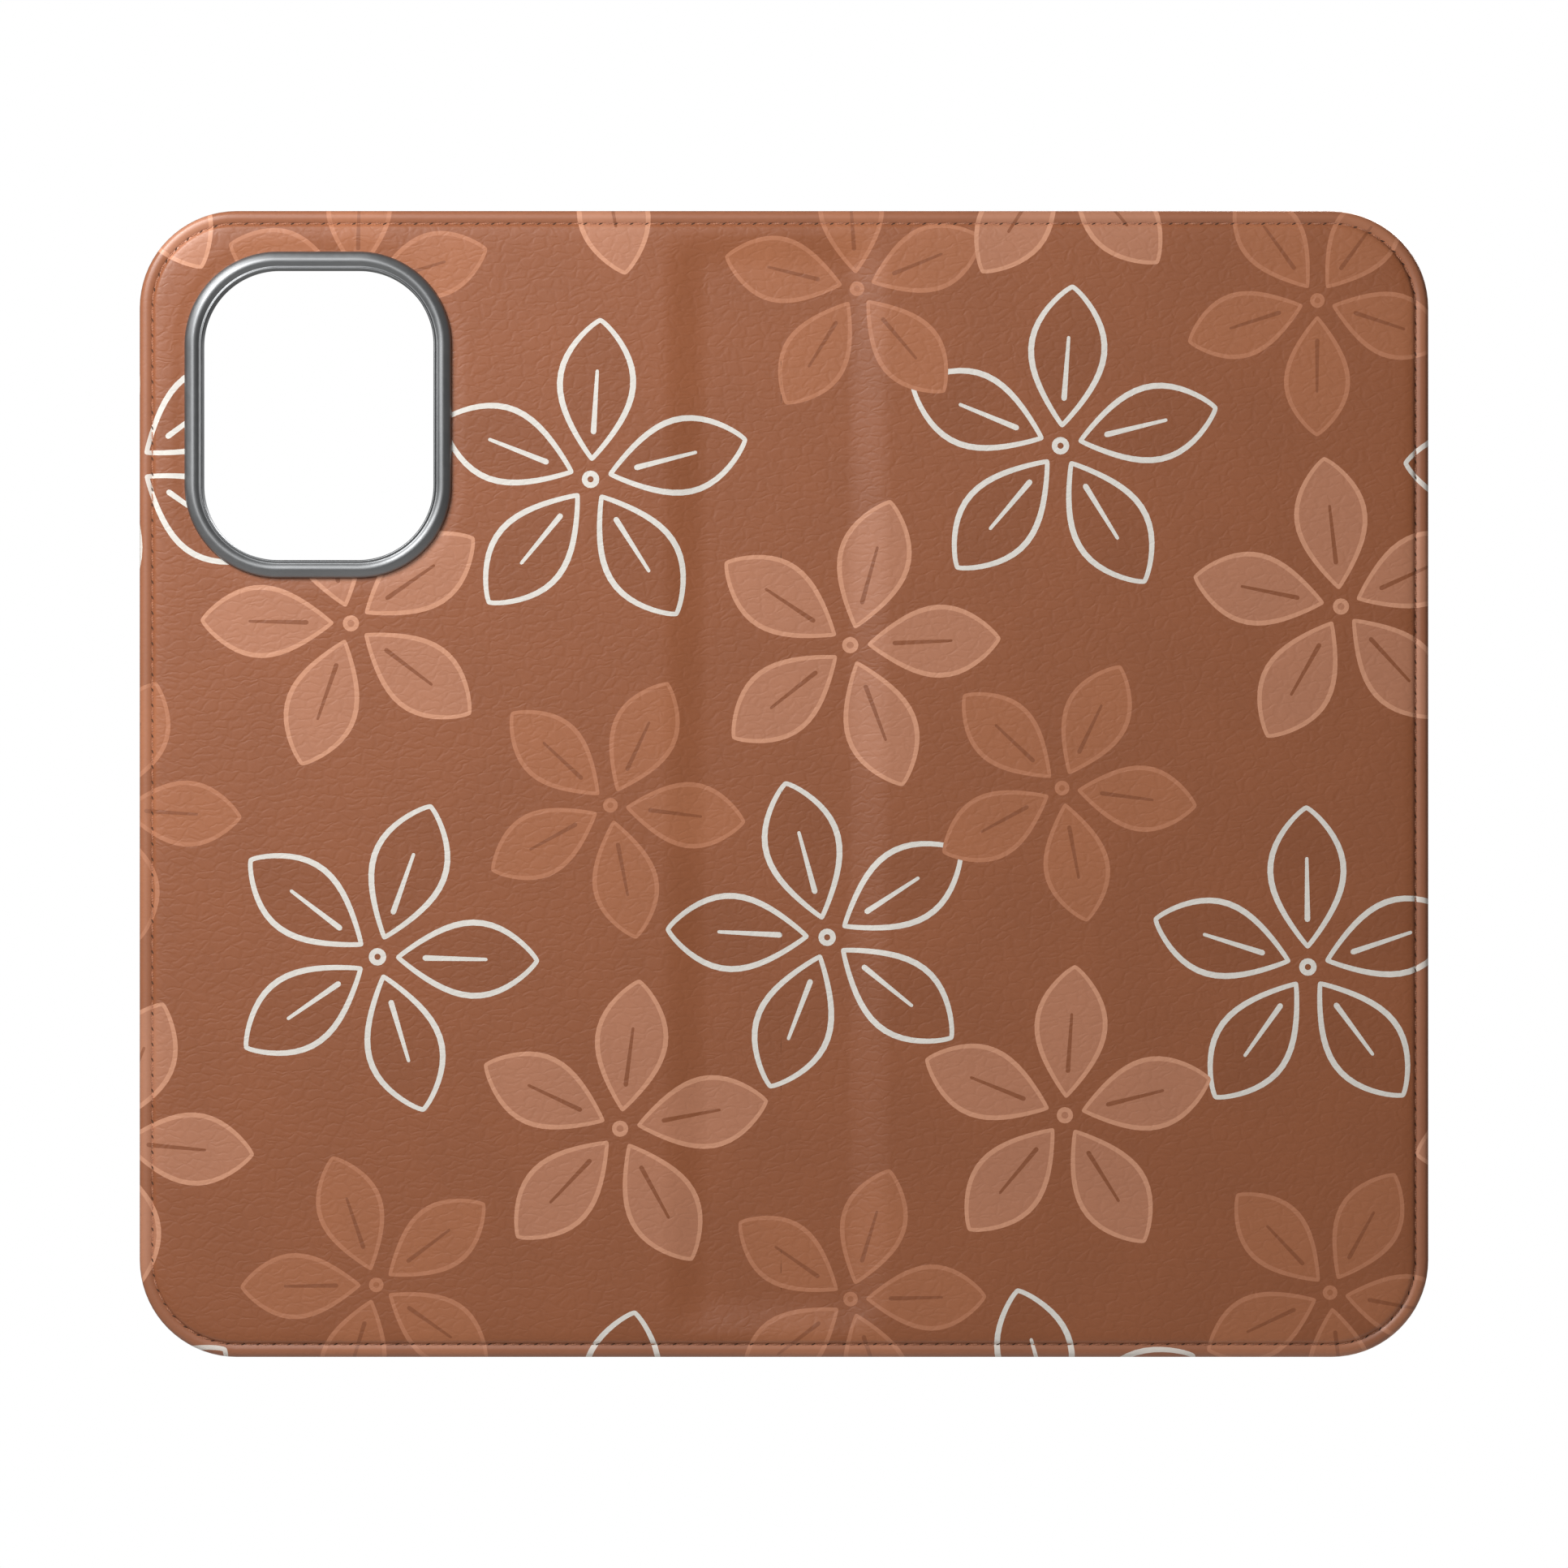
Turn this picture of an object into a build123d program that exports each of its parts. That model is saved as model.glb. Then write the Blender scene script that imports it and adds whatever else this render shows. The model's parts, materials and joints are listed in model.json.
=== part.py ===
"""Folio phone case: a printed leatherette book cover with a snap-in phone tray.

The case is drawn lying open and seen from outside: X runs from the free edge of the
back panel across the spine to the free edge of the front cover, Y runs inwards from
the outer skin to the phone side, and Z runs up from the bottom edge. Every solid is
drawn in that frame and then moved so that the origin is the centre of the phone seat.
"""
import os

from build123d import *

# ---- The open case ---------------------------------------------------------------
CASE_WIDTH = 178.0
CASE_HEIGHT = 158.3
CORNER_RADIUS = 13.4
EDGE_ROUND = 0.6

# ---- Layers, from the outer skin inwards -----------------------------------------
SKIN = 0.8
BOARD = 1.2
LINING = 0.5
SKIN_AND_BOARD = SKIN + BOARD
PANEL = SKIN_AND_BOARD + LINING
RIM = 2.6                       # skin left outside the boards, where the edge is sewn
LINING_INSET = 0.8

# ---- Spine and its two folds -----------------------------------------------------
BACK_FOLD_X = 78.5
COVER_FOLD_X = 98.7
RECESS = 0.6                    # how far the spine lies below the two panels
FOLD_GAP = 1.3                  # from a fold axis to the panel beside it
FOLD_DEPTH = (RECESS + PANEL) / 2
FOLD_NOSE = (PANEL - RECESS) / 2
BACK_END_X = BACK_FOLD_X - FOLD_GAP
SPINE_START_X = BACK_FOLD_X + FOLD_GAP
SPINE_END_X = COVER_FOLD_X - FOLD_GAP
COVER_START_X = COVER_FOLD_X + FOLD_GAP
BACK_SLOPE_X = 72.6
COVER_SLOPE_X = 103.2
BOARD_TO_SLOPE = 0.6
STAY = 0.6
STAY_INSET = 1.2

# ---- Seams -----------------------------------------------------------------------
SEAM_INSET = 1.8
THREAD_WIDTH = 0.4
THREAD_DEPTH = 0.3

# ---- Phone tray ------------------------------------------------------------------
PHONE_X, PHONE_Y, PHONE_Z = 71.6, 7.8, 147.6
PHONE_PLAY = 0.2
SEAT_X = 39.5
SEAT_Z = CASE_HEIGHT / 2
ADHESIVE = 0.2
ADHESIVE_INSET = 3.0
TRAY_FLOOR = 1.2
TRAY_WALL = 1.6
TRAY_CORNER = 12.0
LIP_OVERHANG = 0.8
LIP = 0.9
TRAY_EDGE_ROUND = 0.5
SEAT_Y = PANEL + ADHESIVE + TRAY_FLOOR
LIP_Y = SEAT_Y + PHONE_Y + PHONE_PLAY
TRAY_TOP_Y = LIP_Y + LIP
CAVITY_X = PHONE_X + 2 * PHONE_PLAY
CAVITY_Z = PHONE_Z + 2 * PHONE_PLAY
NOTCH_FLOOR_Y = SEAT_Y + 1.4
NOTCH_ROUND = 1.5
PORT_NOTCH_LENGTH = 46.0
# Side notches: side of the tray (-1 is the free edge), centre height and length.
SIDE_NOTCHES = [(-1, 102.0, 24.0), (-1, 60.0, 24.0), (1, 112.0, 46.0)]

# ---- Camera window and its bezel -------------------------------------------------
WINDOW_X = 24.7
WINDOW_Z = 130.1
BEZEL_X, BEZEL_Z = 36.9, 45.1
BEZEL_CORNER = 12.9
BEZEL_PROUD = 1.0
BEZEL_CREST = 1.5               # width of the high outer band of the bezel
BEZEL_BAND = 2.5                # width of the whole bezel, out to its opening
BEZEL_STEP = 0.45               # drop from the crest to the inner band
BARREL_WALL = 1.2

# ---- Magnets that hold the cover shut --------------------------------------------
BAR_MAGNET = (0.8, 5.0, 18.0)
DISC_RADIUS = 4.0
DISC = 0.8
DISC_X = 170.6
MAGNET_SPREAD_Z = 52.0

# ---- Pockets inside the cover ----------------------------------------------------
SHEET = 0.6
CASH_POCKET_X = 105.5
SLOT_MOUTHS_X = [110.0, 119.0, 128.0]
SLOT_END_X = 175.4
SLOT_HEIGHT = 92.0
SLOT_CORNER = 3.0
SLOT_NAMES = ["card_slot_back", "card_slot_middle", "card_slot_front"]

FAR = 400.0                     # longer than anything here, for cutting


# ---- Drawing helpers -------------------------------------------------------------
def rounded(x, z, width, height, radius):
    """Rounded rectangle with its centre at x, z."""
    return Pos(x, z) * RectangleRounded(width, height, radius)


def case_outline(inset=0.0):
    """Outline of the open case, moved inwards by inset."""
    return rounded(
        CASE_WIDTH / 2,
        CASE_HEIGHT / 2,
        CASE_WIDTH - 2 * inset,
        CASE_HEIGHT - 2 * inset,
        CORNER_RADIUS - inset,
    )


def tray_outline(grow=0.0):
    """Outline of the tray's cavity, moved outwards by grow."""
    return rounded(
        SEAT_X, SEAT_Z, CAVITY_X + 2 * grow, CAVITY_Z + 2 * grow, TRAY_CORNER + grow
    )


def window_outline(inset=0.0):
    """Outline of the camera bezel, moved inwards by inset."""
    return rounded(
        WINDOW_X,
        WINDOW_Z,
        BEZEL_X - 2 * inset,
        BEZEL_Z - 2 * inset,
        BEZEL_CORNER - inset,
    )


def between(low_x, high_x):
    """Full-height strip from low_x to high_x."""
    return Pos((low_x + high_x) / 2, CASE_HEIGHT / 2) * Rectangle(high_x - low_x, FAR)


def slab(outline, low_y, high_y):
    """Solid with that X-Z outline, from one depth to another."""
    face = Plane.XZ.offset(-high_y) * outline
    return extrude(face, amount=high_y - low_y)


def surface_layer(low, high):
    """Layer between two depths below the outer surface, which dips over the spine."""
    surface = [
        (-FAR, 0.0),
        (BACK_SLOPE_X, 0.0),
        (BACK_END_X, RECESS),
        (COVER_START_X, RECESS),
        (COVER_SLOPE_X, 0.0),
        (FAR, 0.0),
    ]
    top = [(x, depth + low) for x, depth in surface]
    bottom = [(x, depth + high) for x, depth in reversed(surface)]
    profile = make_face(Polyline(*top, *bottom, close=True))
    return extrude(Plane.XY.offset(-FAR / 2) * profile, amount=FAR)


def seam_ring():
    """Ring that the edge seam runs along."""
    half = THREAD_WIDTH / 2
    return case_outline(SEAM_INSET - half) - case_outline(SEAM_INSET + half)


BARREL_HOLE = window_outline(BEZEL_BAND - BARREL_WALL)


# ---- Skins, boards and linings ---------------------------------------------------
def skin_block():
    """The whole skin before it is split: full depth, with its outer edge eased."""
    straight = slab(case_outline(), EDGE_ROUND, SKIN_AND_BOARD)
    outer_face = Plane.XZ * case_outline(EDGE_ROUND)
    full_face = Plane.XZ.offset(-EDGE_ROUND) * case_outline()
    return (straight + loft([outer_face, full_face])) & surface_layer(0.0, FAR)


def skin(low_x, high_x, pocket, pocket_depth):
    """One panel of skin, with the pocket for its board or stay and the seam's groove."""
    panel = SKIN_BLOCK & slab(between(low_x, high_x), -1.0, PANEL)
    panel -= slab(pocket, pocket_depth, PANEL)
    return panel - OUTER_THREAD


def board_outline(low_x, high_x):
    """Outline of a board inside the sewn rim."""
    return case_outline(RIM) & between(low_x, high_x)


def lining(low_x, high_x):
    """One panel of lining, let in for the thread that shows on the inside."""
    sheet = slab(case_outline(LINING_INSET) & between(low_x, high_x), SKIN_AND_BOARD, PANEL)
    return sheet - INNER_THREAD


def thread_on(low_x, high_x, top_y):
    """Thread let into the inside face whose surface is at top_y."""
    return slab(seam_ring() & between(low_x, high_x), top_y - THREAD_DEPTH, top_y)


SKIN_BLOCK = skin_block()
OUTER_THREAD = slab(seam_ring(), -1.0, SKIN_AND_BOARD) & surface_layer(0.0, THREAD_DEPTH)
INNER_THREAD = thread_on(-1.0, CASE_WIDTH + 1.0, PANEL)


def outer_thread(low_x, high_x):
    """Thread that shows on the outside between two places."""
    return OUTER_THREAD & slab(between(low_x, high_x), -1.0, PANEL)


def fold_strip(axis_x, side):
    """Flexing strip of skin and lining: a round nose on the fold axis, flat to the spine."""
    nose = Pos(axis_x, FOLD_DEPTH) * Circle(FOLD_NOSE)
    flat = Pos(axis_x + side * FOLD_GAP / 2, FOLD_DEPTH) * Rectangle(FOLD_GAP, 2 * FOLD_NOSE)
    height = CASE_HEIGHT - 2 * LINING_INSET
    return extrude(Plane.XY.offset(LINING_INSET) * (nose + flat), amount=height)


# ---- Back panel ------------------------------------------------------------------
def phone_tray():
    """Snap-in shell: floor, wall and lip, with notches for the port and the keys."""
    shell = slab(tray_outline(TRAY_WALL), PANEL + ADHESIVE, TRAY_TOP_Y)
    top = shell.faces().sort_by(Axis.Y)[-1]
    shell = fillet(top.outer_wire().edges(), TRAY_EDGE_ROUND)
    shell -= slab(tray_outline(), SEAT_Y, LIP_Y)
    shell -= slab(tray_outline(-LIP_OVERHANG), SEAT_Y, FAR)
    shell -= slab(BARREL_HOLE, 0.0, SEAT_Y)
    shell -= notch(SEAT_X, SEAT_Z - CAVITY_Z / 2, PORT_NOTCH_LENGTH, along_x=True)
    for side, height, length in SIDE_NOTCHES:
        shell -= notch(SEAT_X + side * CAVITY_X / 2, height, length, along_x=False)
    for magnet in bar_magnets():
        shell -= magnet
    return shell


def notch(x, z, length, along_x):
    """Open-topped notch through the tray's wall, with rounded bottom corners."""
    depth = FAR - NOTCH_FLOOR_Y
    cutter = RectangleRounded(length, depth, NOTCH_ROUND)
    plane = Plane(origin=(x, NOTCH_FLOOR_Y + depth / 2, z), x_dir=(1, 0, 0), z_dir=(0, 0, 1))
    if not along_x:
        plane = Plane(origin=plane.origin, x_dir=(0, 0, 1), z_dir=(1, 0, 0))
    reach = 2 * TRAY_WALL
    return extrude(plane.offset(-reach) * cutter, amount=2 * reach)


def bar_magnets():
    """Two bar magnets moulded into the tray's wall at the free edge."""
    x = SEAT_X - (CAVITY_X + TRAY_WALL) / 2
    y = SEAT_Y + PHONE_Y / 2
    offsets = [-MAGNET_SPREAD_Z, MAGNET_SPREAD_Z]
    return [Pos(x, y, SEAT_Z + offset) * Box(*BAR_MAGNET) for offset in offsets]


def camera_bezel():
    """Window trim: a stepped flange on the skin and a barrel down to the tray's floor."""
    crest = slab(window_outline(), -BEZEL_PROUD, 0.0)
    crest = fillet(crest.faces().sort_by(Axis.Y)[0].edges(), BEZEL_PROUD * 0.7)
    crest -= slab(window_outline(BEZEL_CREST), -BEZEL_PROUD, -BEZEL_PROUD + BEZEL_STEP)
    top = crest.faces().sort_by(Axis.Y)[0]
    crest = fillet(top.inner_wires()[0].edges(), BEZEL_STEP * 0.5)
    barrel = slab(BARREL_HOLE, 0.0, SEAT_Y)
    return crest + barrel - slab(window_outline(BEZEL_BAND), -FAR, FAR)


def back_nodes():
    """Everything that moves with the back panel."""
    board = board_outline(0.0, BACK_SLOPE_X - BOARD_TO_SLOPE)
    hole = slab(BARREL_HOLE, -FAR, FAR)
    inset_tray = tray_outline(TRAY_WALL - ADHESIVE_INSET)
    return {
        "back_skin": skin(-1.0, BACK_END_X, board, SKIN) - hole,
        "back_board": slab(board, SKIN, SKIN_AND_BOARD) - hole,
        "back_lining": lining(-1.0, BACK_END_X) - hole,
        "tray_adhesive": slab(inset_tray, PANEL, PANEL + ADHESIVE) - hole,
        "phone_tray": phone_tray(),
        "camera_bezel": camera_bezel(),
        "tray_magnets": Compound(bar_magnets()),
        "back_stitching": Compound(
            [outer_thread(-1.0, BACK_END_X), thread_on(-1.0, BACK_END_X, PANEL)]
        ),
    }


# ---- Spine -----------------------------------------------------------------------
def spine_nodes():
    """Everything that moves with the spine."""
    stay = board_outline(SPINE_START_X + STAY_INSET, SPINE_END_X - STAY_INSET)
    stay_depth = SKIN_AND_BOARD - STAY
    return {
        "spine_skin": skin(SPINE_START_X, SPINE_END_X, stay, stay_depth),
        "spine_stay": slab(stay, stay_depth, SKIN_AND_BOARD),
        "spine_lining": lining(SPINE_START_X, SPINE_END_X),
        "back_fold": fold_strip(BACK_FOLD_X, 1),
        "cover_fold": fold_strip(COVER_FOLD_X, -1),
        "spine_stitching": Compound(
            [
                outer_thread(SPINE_START_X, SPINE_END_X),
                thread_on(SPINE_START_X, SPINE_END_X, PANEL),
            ]
        ),
    }


# ---- Front cover -----------------------------------------------------------------
def disc_magnets():
    """Two disc magnets let into the cover's board near its free edge."""
    low_y = SKIN_AND_BOARD - DISC
    offsets = [-MAGNET_SPREAD_Z, MAGNET_SPREAD_Z]
    return [
        slab(Pos(DISC_X, SEAT_Z + offset) * Circle(DISC_RADIUS), low_y, SKIN_AND_BOARD)
        for offset in offsets
    ]


def slot_outline(mouth_x, inset=0.0):
    """Outline of a card slot's sheet, moved inwards by inset on its three sewn sides."""
    width = SLOT_END_X - inset - mouth_x
    return rounded(
        mouth_x + width / 2, SEAT_Z, width, SLOT_HEIGHT - 2 * inset, SLOT_CORNER - inset
    )


def pocket_threads():
    """Thread along the three sewn sides of each card slot, where it shows."""
    threads = []
    half = THREAD_WIDTH / 2
    seen_to = SLOT_MOUTHS_X[1:] + [CASE_WIDTH]
    for step, (mouth, end) in enumerate(zip(SLOT_MOUTHS_X, seen_to)):
        top = PANEL + (step + 2) * SHEET
        run = slot_outline(mouth, SEAM_INSET - half) - slot_outline(mouth, SEAM_INSET + half)
        shown = run & between(mouth + SLOT_CORNER, end)
        threads.append(slab(shown, top - THREAD_DEPTH, top))
    return threads


def cover_nodes():
    """Everything that moves with the front cover."""
    board = board_outline(COVER_SLOPE_X + BOARD_TO_SLOPE, CASE_WIDTH)
    magnets = disc_magnets()
    threads = pocket_threads()
    pocket_top = PANEL + SHEET
    pocket = case_outline(LINING_INSET) & between(CASH_POCKET_X, CASE_WIDTH)
    pocket_thread = thread_on(CASH_POCKET_X, CASE_WIDTH + 1.0, pocket_top)
    lining_thread = thread_on(COVER_START_X, CASH_POCKET_X, PANEL)
    nodes = {
        "cover_skin": skin(COVER_START_X, CASE_WIDTH + 1.0, board, SKIN),
        "cover_board": slab(board, SKIN, SKIN_AND_BOARD) - magnets,
        "cover_lining": slab(
            case_outline(LINING_INSET) & between(COVER_START_X, CASE_WIDTH),
            SKIN_AND_BOARD,
            PANEL,
        )
        - lining_thread,
        "cash_pocket": slab(pocket, PANEL, pocket_top) - pocket_thread,
        "pocket_stitching": Compound([solid for t in threads for solid in t.solids()]),
        "cover_magnets": Compound(magnets),
        "cover_stitching": Compound(
            [outer_thread(COVER_START_X, CASE_WIDTH + 1.0), lining_thread, pocket_thread]
        ),
    }
    for step, (name, mouth) in enumerate(zip(SLOT_NAMES, SLOT_MOUTHS_X)):
        low = pocket_top + step * SHEET
        nodes[name] = slab(slot_outline(mouth), low, low + SHEET) - threads[step]
    return nodes


def main():
    os.makedirs("parts", exist_ok=True)
    seat = Pos(-SEAT_X, -SEAT_Y, -SEAT_Z)
    for nodes in (back_nodes(), spine_nodes(), cover_nodes()):
        for name, shape in nodes.items():
            export_step(seat * Compound(shape.solids()), f"parts/{name}.step")


main()
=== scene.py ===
"""Looks of the folio phone case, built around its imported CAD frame.

Flat work is drawn in case millimetres: x from the back panel's free edge, z up from the
bottom edge, and depth inwards from the outer face. place() turns that into the frame's
metres. Both panels' skins, linings and pockets are closed sheets made from one outline
and a depth for each side, and the blossom print is cut into the outer skin's own faces.
"""
import json
import math

import bpy
import numpy as np
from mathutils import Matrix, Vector
from mathutils.geometry import delaunay_2d_cdt


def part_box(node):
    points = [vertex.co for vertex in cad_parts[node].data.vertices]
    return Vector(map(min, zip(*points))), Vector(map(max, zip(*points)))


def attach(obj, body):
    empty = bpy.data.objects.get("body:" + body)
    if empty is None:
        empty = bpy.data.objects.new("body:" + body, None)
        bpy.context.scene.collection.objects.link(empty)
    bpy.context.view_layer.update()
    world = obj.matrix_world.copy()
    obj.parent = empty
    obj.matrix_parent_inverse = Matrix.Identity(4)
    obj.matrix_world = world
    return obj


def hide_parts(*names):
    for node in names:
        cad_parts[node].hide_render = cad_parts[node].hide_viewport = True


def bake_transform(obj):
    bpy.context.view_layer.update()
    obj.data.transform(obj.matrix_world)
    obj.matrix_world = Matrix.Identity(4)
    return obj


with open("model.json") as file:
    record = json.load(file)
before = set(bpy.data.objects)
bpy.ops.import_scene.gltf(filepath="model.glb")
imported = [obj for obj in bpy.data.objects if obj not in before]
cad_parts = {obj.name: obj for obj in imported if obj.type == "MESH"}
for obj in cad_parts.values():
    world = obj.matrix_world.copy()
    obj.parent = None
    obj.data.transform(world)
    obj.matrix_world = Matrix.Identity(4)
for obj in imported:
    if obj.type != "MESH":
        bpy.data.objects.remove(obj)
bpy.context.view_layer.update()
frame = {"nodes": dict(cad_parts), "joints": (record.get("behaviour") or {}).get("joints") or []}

MM = 0.001


def corner(node, which):
    """A node's lowest (0) or highest (1) corner in the row frame, in millimetres."""
    return np.array(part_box(node)[which]) / MM


# ---- The case, read from the frame -------------------------------------------------
LEFT, OUTER, BOTTOM = corner("back_skin", 0)
RIGHT, _, TOP = corner("cover_skin", 1)
WIDTH = RIGHT - LEFT
HEIGHT = TOP - BOTTOM
CORNER = 13.4                       # radius of the case's corners
SKIN_UNDER = corner("back_lining", 0)[1] - OUTER
LINING_TOP = corner("back_lining", 1)[1] - OUTER
LINING_INSET = corner("back_lining", 0)[0] - LEFT
FOLDS = [joint["pos_m"][0] / MM - LEFT for joint in frame["joints"]]
BACK_FOLD, COVER_FOLD = FOLDS
MID_SPINE = (BACK_FOLD + COVER_FOLD) / 2
FOLD_REACH = 2.3                    # how far from its axis the sheet bends
BOARD_INSET = corner("back_board", 0)[0] - LEFT
SKIN = 0.8                          # thickness of the leatherette

SEAM_INSET = 1.8
STITCH_PITCH = 2.13
STITCH_SHARE = 0.68                 # of the pitch that a stitch covers
STITCH_SLANT = 0.14
STITCH_STEPS = 8
THREAD_RADIUS = 0.11
THREAD_SIDES = 8
HOLE_SIZE = (0.30, 0.10)            # a needle hole's half length and half width
HOLE_SLANT = 0.35
HOLE_SIDES = 8
POCKET_HEM = 1.9                    # how far a pocket's hem is turned in
BEZEL_LOW = corner("camera_bezel", 0)
BEZEL_HIGH = corner("camera_bezel", 1)
WINDOW_X = (BEZEL_LOW[0] + BEZEL_HIGH[0]) / 2 - LEFT
WINDOW_Z = (BEZEL_LOW[2] + BEZEL_HIGH[2]) / 2 - BOTTOM
WINDOW_W = BEZEL_HIGH[0] - BEZEL_LOW[0]
WINDOW_H = BEZEL_HIGH[2] - BEZEL_LOW[2]
WINDOW_CORNER = 12.9
FLANGE = 1.3                        # how far the bezel's flange laps over the skin

BACK_DIP = (72.0, 78.6)             # where the skin goes down to the spine
COVER_DIP = (97.6, 103.8)           # where it comes back up
DIP = 0.6
DIP_FADE = (2.3, 8.0)               # the dip dies out this far from top and bottom


def place(x, depth, z):
    """Case millimetres to the row frame's metres."""
    return np.stack([x + LEFT, depth + OUTER, z + BOTTOM], axis=-1) * MM


# ---- Small mathematics ---------------------------------------------------------------
def smoothstep(low, high, value):
    """0 below low, 1 above high, and smooth between."""
    t = np.clip((value - low) / (high - low), 0.0, 1.0)
    return t * t * (3 - 2 * t)


def smooth_curve(points):
    """A function through the points, with no overshoot between them."""
    x, y = np.array(points, float).T
    step = np.diff(x)
    rise = np.diff(y) / step
    slope = np.zeros_like(x)
    turning = rise[:-1] * rise[1:] > 0
    mean = 2 * rise[:-1] * rise[1:] / np.where(turning, rise[:-1] + rise[1:], 1.0)
    slope[1:-1] = np.where(turning, mean, 0.0)
    slope[0], slope[-1] = rise[0], rise[-1]

    def at(value):
        value = np.clip(value, x[0], x[-1])
        i = np.clip(np.searchsorted(x, value) - 1, 0, len(step) - 1)
        t = (value - x[i]) / step[i]
        return (
            y[i] * (1 + 2 * t) * (1 - t) ** 2
            + y[i + 1] * t * t * (3 - 2 * t)
            + step[i] * (slope[i] * t * (1 - t) ** 2 - slope[i + 1] * t * t * (1 - t))
        )

    return at


def rounded_distance(x, z, middle, size, radius):
    """How far a point lies inside a rounded rectangle, negative outside it."""
    qx = np.abs(x - middle[0]) - (size[0] / 2 - radius)
    qz = np.abs(z - middle[1]) - (size[1] / 2 - radius)
    outside = np.hypot(np.maximum(qx, 0), np.maximum(qz, 0))
    return radius - outside - np.minimum(np.maximum(qx, qz), 0)


def edge_distance(x, z):
    """How far a point lies inside the case's outline."""
    return rounded_distance(x, z, (WIDTH / 2, HEIGHT / 2), (WIDTH, HEIGHT), CORNER)


def rounded_loop(middle, size, radius, step):
    """Points and outward normals round a rounded rectangle, anticlockwise."""
    points, normals = [], []
    corners = [(1, 1, 0), (-1, 1, 90), (-1, -1, 180), (1, -1, 270)]
    arc_steps = max(3, round(radius * math.pi / 2 / step))
    for sx, sz, start in corners:
        centre = np.array(middle) + [
            sx * (size[0] / 2 - radius),
            sz * (size[1] / 2 - radius),
        ]
        for i in range(arc_steps + 1):
            angle = math.radians(start + 90 * i / arc_steps)
            normal = np.array([math.cos(angle), math.sin(angle)])
            points.append(centre + radius * normal)
            normals.append(normal)
    full_points, full_normals = [], []
    for i, (a, b) in enumerate(zip(points, points[1:] + points[:1])):
        gap = np.linalg.norm(b - a)
        pieces = max(1, round(gap / step))
        for k in range(pieces):
            full_points.append(a + (b - a) * k / pieces)
            full_normals.append(normals[i])
    return np.array(full_points), np.array(full_normals)


def inside_polygon(points, polygon):
    """Which points lie inside a closed polygon."""
    result = np.zeros(len(points), bool)
    near = ((points >= polygon.min(axis=0)) & (points <= polygon.max(axis=0))).all(axis=1)
    ax, az = polygon.T
    bx, bz = np.roll(polygon, -1, axis=0).T
    slant = (bx - ax) / np.where(bz == az, 1.0, bz - az)
    for some in np.array_split(np.flatnonzero(near), near.sum() // 4000 + 1):
        px, pz = points[some].T[:, :, None]
        crosses = (az > pz) != (bz > pz)
        to_the_right = px < slant * (pz - az) + ax
        result[some] = (crosses & to_the_right).sum(axis=1) % 2 == 1
    return result


# ---- The print: plain five-petal blossoms on a half-drop repeat --------------------------
# Every blossom is the same almond petal turned five times. They stand on a half-drop repeat,
# each third one in the same ink, and stray a little from it, with a seeded draw.
COLUMN_STEP = 33.0
ROW_STEP = 46.0
FIRST_BLOSSOM = (-2.0, -14.0)
STRAY = 3.0                         # how far a blossom may stand from its place
PRINT_SEED = 11
BLOSSOM_RADIUS = {"white": 22.0, "clay": 18.5, "blush": 20.5}
LINE_WIDTH = {"white": 0.78, "clay": 0.60, "blush": 0.64}
PETALS = 5
PETAL_STEPS = 24
PETAL_BASE = 0.13                   # where a petal begins, as a share of the radius
PETAL_HALF_WIDTH = 0.23
PETAL_LEAN = 1.15                   # above 1, a petal is widest nearer its tip
VEIN = (0.30, 0.68)                 # where a petal's vein begins and ends
VEIN_STEPS = 8
EYE = 0.055                         # radius of the ring in the middle


def ribbon(points, widths):
    """Closed outline of a line with round ends and a width at each point."""
    along = np.gradient(points, axis=0)
    along /= np.linalg.norm(along, axis=1)[:, None]
    across = np.stack([-along[:, 1], along[:, 0]], axis=1) * widths[:, None] / 2
    turn = np.radians([45, 90, 135])[:, None]

    def cap(end, forward, side):
        return end + side * np.cos(turn) + forward * np.cos(turn - math.pi / 2)

    last = cap(points[-1], along[-1] * widths[-1] / 2, across[-1])
    first = cap(points[0], -along[0] * widths[0] / 2, -across[0])
    return np.concatenate([points + across, last, (points - across)[::-1], first])


def disc(middle, radius):
    """A small round region."""
    turn = np.linspace(0, 2 * math.pi, 16, endpoint=False)
    return middle + radius * np.stack([np.cos(turn), np.sin(turn)], axis=1)


def draw_blossom(ink, middle, radius, first_angle):
    """The regions of one blossom: petals, veins, outlines and eye, as closed polygons."""
    t = (1 - np.cos(np.linspace(0, math.pi, PETAL_STEPS))) / 2
    along = radius * (PETAL_BASE + (1 - PETAL_BASE) * t)
    across = radius * PETAL_HALF_WIDTH * np.sin(math.pi * t**PETAL_LEAN).clip(0, 1) ** 0.8
    width = LINE_WIDTH[ink]
    side_widths = width * (0.8 + 0.25 * np.sin(math.pi * t))
    vein_widths = width * np.linspace(1.0, 0.6, VEIN_STEPS)
    fills, veins, outlines = [], [], []
    for angle in first_angle + 2 * math.pi * np.arange(PETALS) / PETALS:
        axis = np.array([math.cos(angle), math.sin(angle)])
        normal = np.array([-axis[1], axis[0]])
        left, right = (
            middle + np.outer(along, axis) + side * np.outer(across, normal) for side in (1, -1)
        )
        fills.append(np.concatenate([left, right[-2:0:-1]]))
        outlines += [ribbon(left, side_widths), ribbon(right, side_widths)]
        vein = middle + np.outer(np.linspace(*VEIN, VEIN_STEPS) * radius, axis)
        veins.append(ribbon(vein, vein_widths))
    eye = [(ink, disc(middle, EYE * radius)), (f"{ink} fill", disc(middle, EYE * radius - width))]
    layers = [(f"{ink} fill", fills), (ink if ink == "white" else "vein", veins), (ink, outlines)]
    return [(colour, polygon) for colour, polygons in layers for polygon in polygons] + eye


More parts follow.
